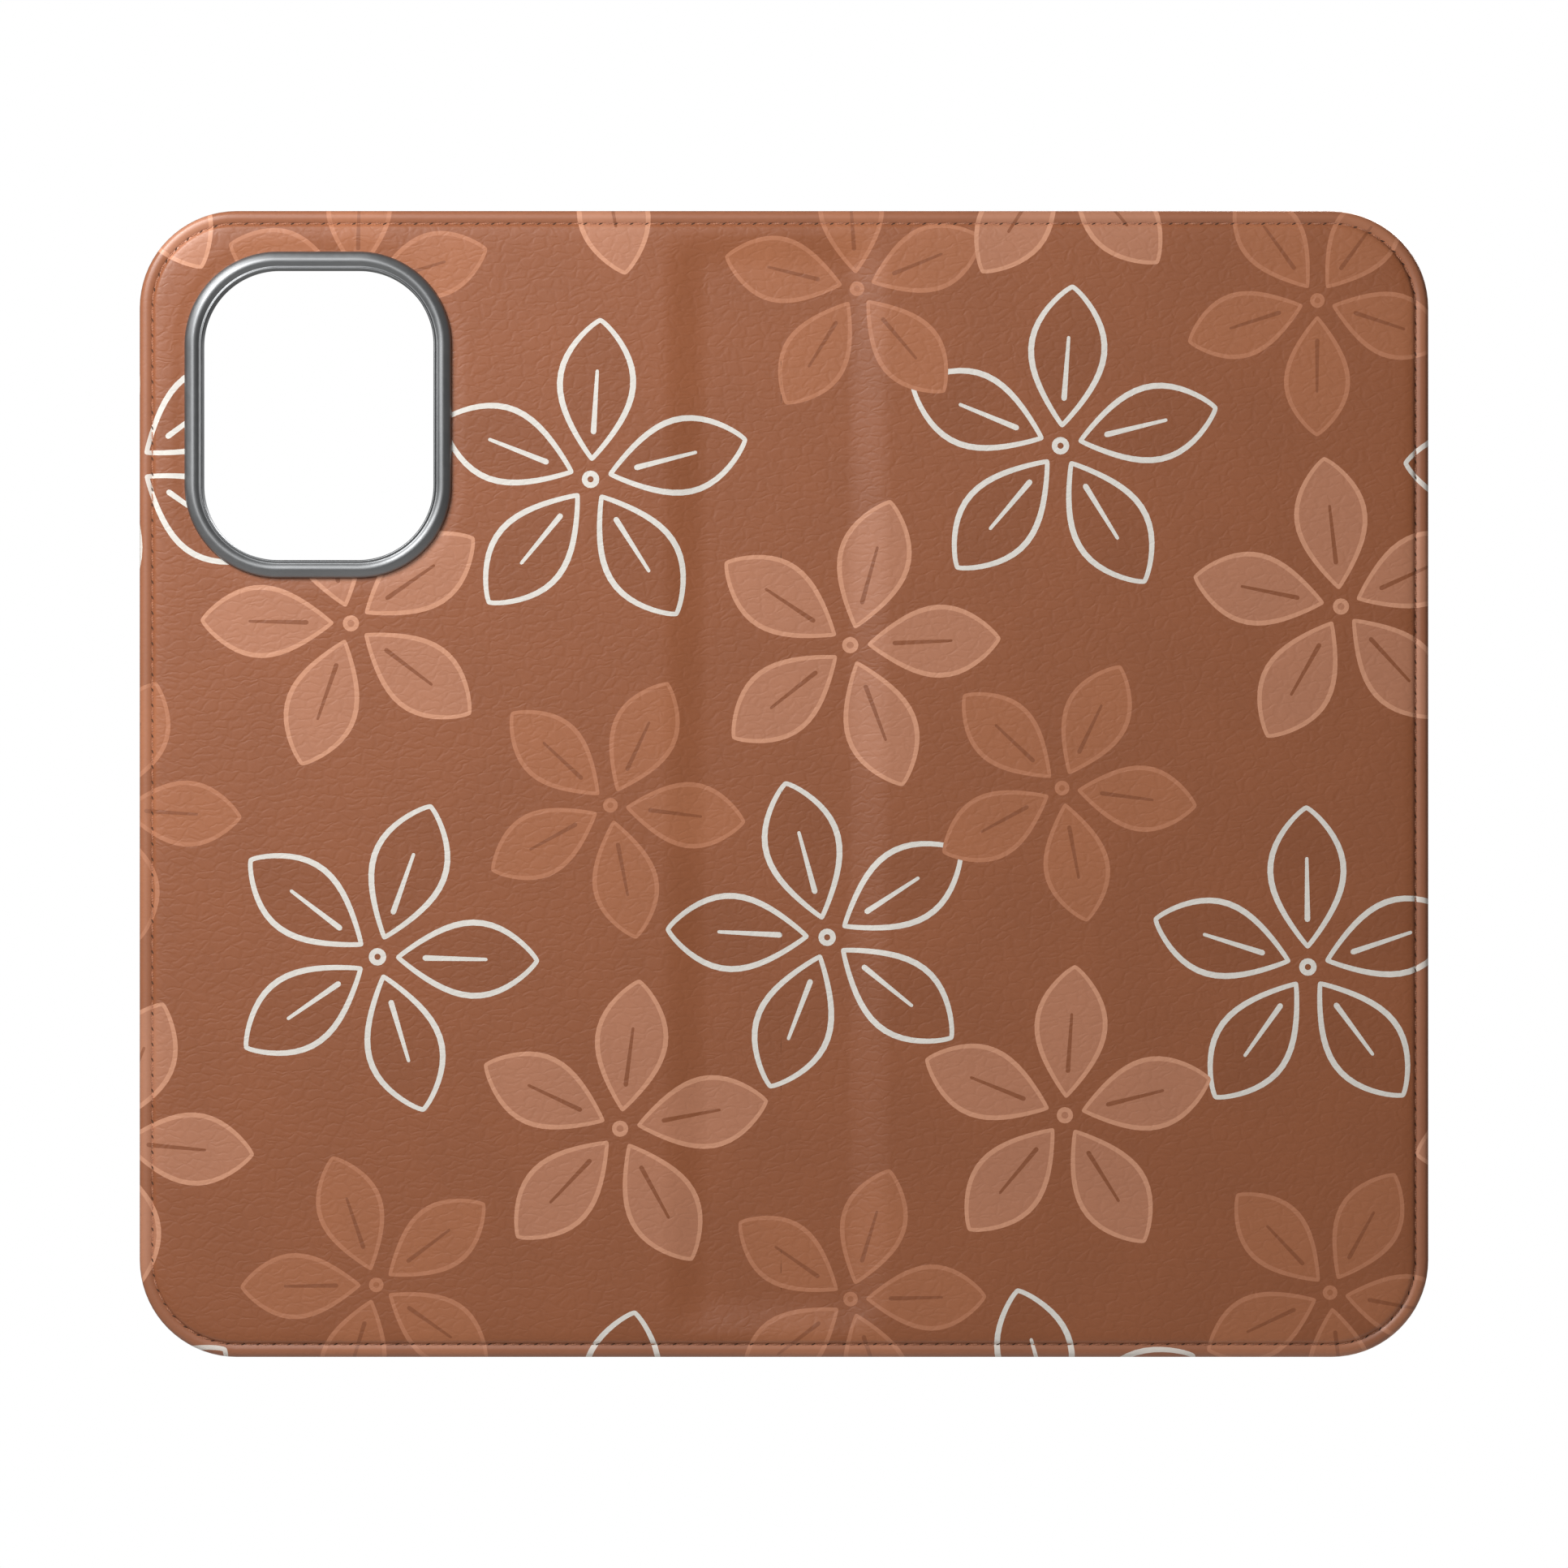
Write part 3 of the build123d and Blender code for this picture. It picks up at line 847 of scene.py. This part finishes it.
def build_skin(material):
    """Both halves of the printed skin."""
    # The needle holes are painted into the skin as dark shade.
    regions = ARTWORK + [("hole", hole) for hole in needle_holes()]
    marks = [polygon for _, polygon in regions]
    marks += rings(*CASE, RINGS, 1.2)
    marks += rings(*WINDOW, WINDOW_RINGS, 1.1)
    lines = [cut_line(0.0), *fold_columns(0.45, 2.0)]
    loose = jittered_grid(2.6, 5, away_from_folds)
    flat, triangles = triangulate([OUTLINE, WINDOW_HOLE], loose, marks, lines)
    centres = flat[triangles].mean(axis=1)
    inks = paint(centres, regions)
    under = jittered_grid(6.0, 6, away_from_folds)
    under_rings = rings(*CASE, UNDER_RINGS, 2.0)
    under_window_rings = rings(*WINDOW, UNDER_WINDOW_RINGS, 2.0)
    under_columns = fold_columns(0.9, 5.0)
    for half, side, width in HALVES:

        def mine(points):
            return (points[:, 0] - MID_SPINE) * side > 0.02

        chosen = mine(centres)
        under_lines = [part_of(ring, mine(ring)) for ring in under_rings]
        under_lines += [part_of(ring, mine(ring)) for ring in under_window_rings if half == "back"]
        under_lines += [column for column in under_columns if mine(column).all()]
        piece = closed_sheet(
            f"leatherette_{half}_half",
            flat,
            triangles[chosen],
            skin_depth,
            skin_under,
            material,
            inks[chosen],
            (under[mine(under)], under_lines),
        )
        bend(piece)
        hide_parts(*SKIN_NODES[half])


# ---- The lining and the pockets ---------------------------------------------------------
def build_lining(material):
    """Both halves of the lining."""
    marks = rings(*CASE, [LINING_INSET + inset for inset in LINING_RINGS], 1.6)
    lines = [cut_line(LINING_INSET), *fold_columns(0.25, 4.0)]
    loose = off_the_rim(jittered_grid(5.0, 7, away_from_folds))
    flat, triangles = triangulate([LINING_OUTLINE, WINDOW_HOLE], loose, marks, lines)
    centres = flat[triangles].mean(axis=1)

    def outer(x, z):
        return SKIN_UNDER + 0 * x

    for half, side, width in HALVES:
        chosen = (centres[:, 0] - MID_SPINE) * side > 0
        name = f"lining_{half}_half"
        piece = closed_sheet(name, flat, triangles[chosen], outer, lining_face, material)
        bend(piece)
        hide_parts(*LINING_NODES[half])


def node_rectangle(node):
    """Middle and size of a node's outline, in case millimetres."""
    low = corner(node, 0)[[0, 2]] - (LEFT, BOTTOM)
    high = corner(node, 1)[[0, 2]] - (LEFT, BOTTOM)
    return (low + high) / 2, high - low


def pocket_sheet(node, outline, distance_to_edge, grid_step, material):
    """One pocket sheet in place of its CAD node, with a turned hem along its mouth."""
    middle, size = node_rectangle(node)
    mouth = middle[0] - size[0] / 2
    outer, inner = pocket_depths(node, distance_to_edge)

    def inside(x, z):
        return (distance_to_edge(x, z) > 3.0) & (x > mouth + POCKET_HEM + 1.2)

    z = middle[1] + np.linspace(-0.5, 0.5, 40) * (size[1] - 6)
    hem = POCKET_HEM + np.arange(-0.6, 0.61, 0.2)
    across = mouth + np.concatenate([EDGE_INSETS[:6], hem])
    lines = [np.stack([np.full(len(z), x), z], axis=1) for x in across] + EDGE_LINES[node]
    flat, triangles = triangulate([outline], jittered_grid(grid_step, 8, inside), (), lines)
    piece = closed_sheet(node + "_sheet", flat, triangles, outer, inner, material)
    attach(piece, "cover")
    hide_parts(node)
    return piece


SLOT_NODES = ("card_slot_back", "card_slot_middle", "card_slot_front")
SLOT_CORNER = 3.0
EDGE_INSETS = (0.05, 0.14, 0.26, 0.4, 0.6, 1.0, 1.3, 1.6, 1.8, 2.0, 2.3)
POCKET_MOUTH = corner("cash_pocket", 0)[0] - LEFT
EDGE_LINES = {
    node: [np.vstack([r, r[:1]]) for r in rings(*node_rectangle(node), SLOT_CORNER, EDGE_INSETS, 1.6)]
    for node in SLOT_NODES
}
EDGE_LINES["cash_pocket"] = [
    part_of(ring, ring[:, 0] > POCKET_MOUTH + 0.02)
    for ring in rings(*CASE, [LINING_INSET + inset for inset in EDGE_INSETS], 1.6)
]


def pocket_distance(x, z):
    """How far a point lies inside the cash pocket's outline."""
    return np.minimum(edge_distance(x, z) - LINING_INSET, x - POCKET_MOUTH)


def slot_distance(node):
    """The same for a card slot, as a function."""
    middle, size = node_rectangle(node)
    return lambda x, z: rounded_distance(x, z, middle, size, SLOT_CORNER)


def build_pockets(material):
    """The full-height cash pocket and the three stepped card slots."""
    right = LINING_OUTLINE[LINING_OUTLINE[:, 0] > POCKET_MOUTH]
    turn = np.argmin(np.diff(right[:, 1])) + 1
    ends = [[POCKET_MOUTH, HEIGHT - LINING_INSET], [POCKET_MOUTH, LINING_INSET]]
    outline = np.concatenate([right[:turn], ends, right[turn:]])
    pocket_sheet("cash_pocket", outline, pocket_distance, 5.0, material)
    for node in SLOT_NODES:
        outline = rings(*node_rectangle(node), SLOT_CORNER, [0.0], 1.2)[0]
        pocket_sheet(node, outline, slot_distance(node), 4.0, material)


# ---- Stitches ---------------------------------------------------------------------------
def stitch_run(path, headings, surface, side):
    """Plump stitches whose ends dive into a surface: points, faces and flat map.

    path holds each stitch's centre line as (stitch, step, 2), and side is -1 outside."""
    count, steps, _ = path.shape
    around = THREAD_SIDES
    share = np.linspace(0, 1, steps)
    lift = -0.22 + 0.23 * np.sin(math.pi * share) ** 0.4
    swell = 0.62 + 0.38 * np.sin(math.pi * share) ** 0.5
    normal = np.stack([-headings[..., 1], headings[..., 0]], axis=-1)
    turn = np.linspace(0, 2 * math.pi, around, endpoint=False)
    across = THREAD_RADIUS * swell[None, :, None] * np.cos(turn)
    rise = lift[None, :, None] + THREAD_RADIUS * swell[None, :, None] * np.sin(turn)
    spots = path[:, :, None, :] + across[..., None] * normal[:, :, None, :]
    depth = surface(path[..., 0], path[..., 1])[:, :, None] + side * rise
    points = place(spots[..., 0], depth, spots[..., 1]).reshape(-1, 3)
    flat = np.stack(
        np.broadcast_arrays(
            (np.arange(count)[:, None, None] + share[None, :, None]) * STITCH_PITCH,
            np.arange(around)[None, None, :] * 0.2,
        ),
        axis=-1,
    ).reshape(-1, 2)
    faces = []
    for s in range(count):
        for k in range(steps - 1):
            low = (s * steps + k) * around
            for a in range(around):
                b = (a + 1) % around
                quad = [low + a, low + b, low + around + b, low + around + a]
                faces.append(quad[::side])
        first, last = s * steps * around, ((s + 1) * steps - 1) * around
        faces.append([first + a for a in range(around)][:: -side])
        faces.append([last + a for a in range(around)][::side])
    return points, faces, flat


def stitches_along(loop, starts, length):
    """Centre lines and headings of stitches that begin at those distances along a loop."""
    share = np.linspace(0, 1, STITCH_STEPS)
    path, headings = along(loop, starts[:, None] + length * share)
    normal = np.stack([-headings[..., 1], headings[..., 0]], axis=-1)
    return path + normal * STITCH_SLANT * (share - 0.5)[None, :, None], headings


def stitch_piece(name, paths, surface, side, material, slot):
    """One object that holds a run of stitches."""
    path, headings = paths
    points, faces, flat = stitch_run(path, headings, surface, side)
    piece = mesh_piece(name, points, faces, material, flat)
    return piece


def inside_face(x, z):
    """Depth of what the seam shows on, on the phone side."""
    on_pocket = x > POCKET_MOUTH
    pocket_top = corner("cash_pocket", 1)[1] - OUTER - 0.1
    return np.where(on_pocket, pocket_top, lining_face(x, z))


def build_stitching(outer_thread, inner_thread):
    """The seam round the case, on both faces, and the card slots' seams."""
    starts = (np.arange(STITCHES) + (1 - STITCH_SHARE) / 2) * PITCH
    path, headings = stitches_along(SEAM, starts, STITCH_SHARE * PITCH)
    centre = path[:, STITCH_STEPS // 2, 0]
    faces = [
        ("outside", skin_depth, -1, outer_thread, "thread"),
        ("inside", inside_face, 1, inner_thread, "inner_thread"),
    ]
    for half, side, _ in HALVES:
        mine = (centre - MID_SPINE) * side > 0
        for face, *look in faces:
            piece = stitch_piece(f"stitching_{half}_{face}", (path[mine], headings[mine]), *look)
            bend(piece)
            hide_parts(*SEAM_NODES[half])
    mouths = [node_rectangle(node)[0][0] - node_rectangle(node)[1][0] / 2 for node in SLOT_NODES]
    hidden_from = [*mouths[1:], WIDTH]
    for node, mouth, end in zip(SLOT_NODES, mouths, hidden_from):
        loop = rings(*node_rectangle(node), SLOT_CORNER, [SEAM_INSET], 0.4)[0]
        starts = np.arange(round(loop_length(loop) / STITCH_PITCH)) * STITCH_PITCH
        path, headings = stitches_along(loop, starts, STITCH_SHARE * STITCH_PITCH)
        shown = (path[..., 0].min(axis=1) > mouth + 3.0) & (path[..., 0].max(axis=1) < end)
        _, inner = pocket_depths(node, slot_distance(node))
        runs = (path[shown], headings[shown])
        piece = stitch_piece(f"{node}_stitches", runs, inner, 1, inner_thread, "inner_thread")
        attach(piece, "cover")
        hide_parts("pocket_stitching")


# ---- Camera bezel -----------------------------------------------------------------------
# Its outer face, as (how far in from its edge, depth). A depth under 0 is a share of the
# bezel's full height: a broad rounded crest, a groove, and a thin bead round the opening.
BEZEL_OUTSIDE = [
    (0.0, 0.30), (0.0, 0.05), (0.03, -0.16), (0.10, -0.34), (0.22, -0.50), (0.40, -0.64),
    (0.62, -0.77), (0.84, -0.88), (1.00, -0.955), (1.14, -0.99), (1.28, -1.0), (1.44, -0.985),
    (1.62, -0.93), (1.78, -0.84), (1.92, -0.73), (2.02, -0.67), (2.10, -0.66), (2.18, -0.70),
    (2.26, -0.78), (2.34, -0.80), (2.42, -0.75), (2.47, -0.64), (2.50, -0.46), (2.50, 0.5),
]


def build_bezel(material):
    """The window trim, as its section swept round the window."""
    seat = corner("camera_bezel", 1)[1] - OUTER
    proud = corner("camera_bezel", 0)[1] - OUTER
    under = [
        (2.50, seat - 0.15),
        (2.42, seat),
        (FLANGE + 0.1, seat),
        (FLANGE, seat - 0.1),
        (FLANGE, 0.34),
        (FLANGE - 0.06, 0.30),
    ]
    insets, depths = np.array(BEZEL_OUTSIDE + under).T
    depths = np.where(depths < 0, depths * -proud, depths)
    loop, normals = rounded_loop(WINDOW[0], WINDOW[1], WINDOW_CORNER, 0.6)
    spots = loop[:, None] - insets[None, :, None] * normals[:, None]
    depths = np.broadcast_to(depths, spots.shape[:2])
    points = place(spots[..., 0], depths, spots[..., 1]).reshape(-1, 3)
    rows, count = spots.shape[:2]
    i, j = np.meshgrid(np.arange(rows), np.arange(count), indexing="ij")
    i_next, j_next = (i + 1) % rows, (j + 1) % count
    quads = [i * count + j, i_next * count + j, i_next * count + j_next, i * count + j_next]
    faces = np.stack(quads, axis=-1).reshape(-1, 4)
    piece = mesh_piece("camera_bezel_trim", points, faces, material)
    piece.data.set_sharp_from_angle(angle=math.radians(50))
    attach(piece, "back")
    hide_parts("camera_bezel")


# ---- CAD nodes that stay, and the studio ------------------------------------------------
def dress(nodes, material):
    """Gives a material to CAD nodes."""
    for name in nodes:
        materials = frame["nodes"][name].data.materials
        if not materials:
            materials.append(material)
        for number in range(len(materials)):
            materials[number] = material


def aim(thing, target):
    """Turns a light or the camera towards a point."""
    heading = Vector(target) - thing.location
    thing.rotation_euler = heading.to_track_quat("-Z", "Y").to_euler()


def area_light(name, location, size, power, target):
    """A soft round lamp that the camera doesn't see."""
    light = bpy.data.lights.new(name, "AREA")
    light.shape = "DISK"
    light.size = size
    light.energy = power
    lamp = bpy.data.objects.new(name, light)
    bpy.context.scene.collection.objects.link(lamp)
    lamp.location = location
    lamp.visible_camera = False
    aim(lamp, target)


AMBIENT = 0.10                      # strength of the pale surroundings as a light
CAMERA_DISTANCE = 1.2
SEEN_WIDTH = 0.2164                 # width of the picture at the case
LAMPS = [                           # name, place from the case's middle, size and power
    ("key", (-0.24, -0.27, 0.25), 0.2, 1.80),
    ("front_light", (-0.3, -1.0, 0.3), 0.25, 2.15),
    ("back_light", (0.35, 0.6, 0.5), 0.5, 7.0),
]
FLOOR_RADIUS = 3.2
FLOOR_SIDES = 96
FLOOR_HEIGHT = -0.42
FLOOR_GLOW = 0.55                   # the camera sees the floor this much brighter


def build_studio():
    """Pale surroundings, soft lights and a camera square on to the outer face."""
    centre = Vector(place(WIDTH / 2, 0.0, HEIGHT / 2).tolist())
    camera_data = bpy.data.cameras.new("camera")
    camera_data.lens = camera_data.sensor_width * CAMERA_DISTANCE / SEEN_WIDTH
    camera = bpy.data.objects.new("camera", camera_data)
    bpy.context.scene.collection.objects.link(camera)
    camera.location = centre - Vector((0, CAMERA_DISTANCE, 0))
    aim(camera, centre)
    bpy.context.scene.camera = camera

    world = bpy.data.worlds.new("studio")
    world.use_nodes = True
    background = world.node_tree.nodes["Background"]
    background.inputs["Color"].default_value = (1.0, 1.0, 1.0, 1.0)
    seen = add(world.node_tree, "ShaderNodeLightPath").outputs["Is Camera Ray"]
    strength = maths(world.node_tree, "MULTIPLY_ADD", seen, 1.0 - AMBIENT, AMBIENT)
    world.node_tree.links.new(strength, background.inputs["Strength"])
    bpy.context.scene.world = world
    bpy.context.scene.view_settings.view_transform = "Standard"

    for name, offset, size, power in LAMPS:
        area_light(name, centre + Vector(offset), size, power, centre)
    build_floor(centre.x)


def build_floor(middle_x):
    """A pale round floor, well below the case."""
    floor_mesh = bpy.data.meshes.new("floor")
    turns = [2 * math.pi * i / FLOOR_SIDES for i in range(FLOOR_SIDES)]
    ring = [(FLOOR_RADIUS * math.cos(turn), FLOOR_RADIUS * math.sin(turn), 0.0) for turn in turns]
    floor_mesh.from_pydata(ring, [], [list(range(FLOOR_SIDES))])
    floor = bpy.data.objects.new("floor", floor_mesh)
    bpy.context.scene.collection.objects.link(floor)
    floor.location = (middle_x, 0.0, FLOOR_HEIGHT)
    material, tree, principled = new_material("floor", Specular_IOR_Level=0.1)
    where = add(tree, "ShaderNodeTexCoord").outputs["Object"]
    tone = remap(tree, noise(tree, where, 4.0), 0.3, 0.7, 0.97, 1.0)
    colour = shaded(tree, add_colour(tree, FLOOR_COLOUR), tone)
    tree.links.new(colour, principled.inputs["Base Color"])
    principled.inputs["Roughness"].default_value = 0.7
    principled.inputs["Emission Color"].default_value = (1.0, 1.0, 0.99, 1.0)
    seen = add(tree, "ShaderNodeLightPath").outputs["Is Camera Ray"]
    tree.links.new(maths(tree, "MULTIPLY", seen, FLOOR_GLOW), principled.inputs["Emission Strength"])
    floor_mesh.materials.append(material)


def main():
    """Makes the materials, then every piece, and last the studio."""
    leatherette = printed_leatherette()
    lining = suede_lining()
    pockets = dark_leatherette()
    outer_thread = thread("thread", THREAD_COLOUR)
    inner_thread = thread("inner_thread", INNER_THREAD_COLOUR)
    tray = moulded("tray_plastic", TRAY_COLOUR, 0.5, 2500.0, 0.00002, Specular_IOR_Level=0.45)
    bezel = moulded("bezel_plastic", BEZEL_COLOUR, 0.46, 900.0, 0.000004, Metallic=0.9)
    magnet = moulded("magnet_steel", MAGNET_COLOUR, 0.3, 700.0, 0.00001, Metallic=1.0)
    tape = moulded("adhesive", TAPE_COLOUR, 0.4, 500.0, 0.00002)
    build_skin(leatherette)
    build_lining(lining)
    build_pockets(pockets)
    build_stitching(outer_thread, inner_thread)
    build_bezel(bezel)
    dress(("phone_tray",), tray)
    dress(("tray_magnets", "cover_magnets"), magnet)
    dress(("tray_adhesive",), tape)
    dress(("back_board", "cover_board", "spine_stay"), fibre_board())
    build_studio()


main()
